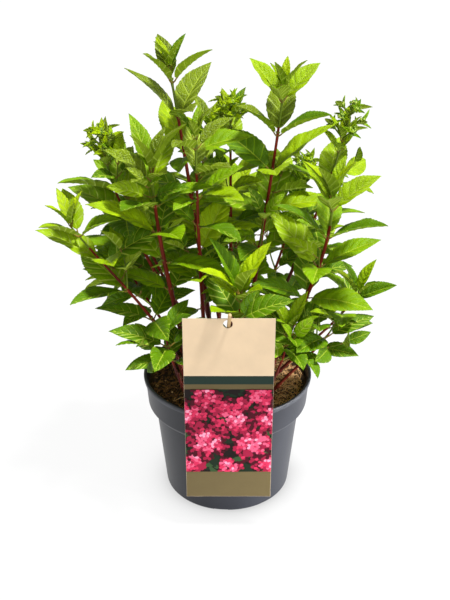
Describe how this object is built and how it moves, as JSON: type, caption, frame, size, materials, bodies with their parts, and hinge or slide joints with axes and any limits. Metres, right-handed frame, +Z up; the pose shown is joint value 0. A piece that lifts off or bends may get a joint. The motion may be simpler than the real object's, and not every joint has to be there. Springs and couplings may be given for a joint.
{
  "type": "potted panicle hydrangea",
  "caption": "Bushy leafy flowering shrub with reddish canes and bud panicles, grown in a round plastic nursery pot of coir, with a picture card hung on a stick.",
  "frame": {"origin": "middle of the pot's flat underside", "axes": "+Z up, -Y towards the side with the picture card, +X to the right seen from there"},
  "size_m": [0.3735, 0.3196, 0.509],
  "materials": {
    "pot_plastic": "satin",
    "coir": "matte",
    "old_wood": "matte",
    "cane_bark": "satin",
    "leaf": "satin",
    "card": "satin",
    "stick": "matte"
  },
  "bodies": {
    "root": {"pot": "pot_plastic", "fill": "coir", "old_wood": "old_wood", "card": "card", "stick": "stick", "cane_front_left": "cane_bark", "cane_outer_right": "cane_bark", "cane_tall_left": "cane_bark", "cane_tall_right": "cane_bark", "cane_front_centre": "cane_bark", "cane_bud_left": "cane_bark", "cane_bud_right": "cane_bark", "cane_low_left": "cane_bark", "cane_inner_left": "cane_bark", "cane_inner_back": "cane_bark", "cane_low_right": "cane_bark", "cane_low_right_front": "cane_bark", "cane_rim_left": "cane_bark", "cane_rim_right": "cane_bark", "cane_back_centre": "cane_bark", "cane_back_right": "cane_bark", "cane_back_left": "cane_bark", "cane_back_low": "cane_bark", "cane_back_low_right": "cane_bark", "cane_back_low_left": "cane_bark", "foliage_front_left": "leaf", "foliage_outer_right": "leaf", "foliage_tall_left": "leaf", "foliage_tall_right": "leaf", "foliage_front_centre": "leaf", "foliage_bud_left": "leaf", "foliage_bud_right": "leaf", "foliage_low_left": "leaf", "foliage_inner_left": "leaf", "foliage_inner_back": "leaf", "foliage_low_right": "leaf", "foliage_low_right_front": "leaf", "foliage_rim_left": "leaf", "foliage_rim_right": "leaf", "foliage_back_centre": "leaf", "foliage_back_right": "leaf", "foliage_back_left": "leaf", "foliage_back_low": "leaf", "foliage_back_low_right": "leaf", "foliage_back_low_left": "leaf"}
  },
  "joints": []
}
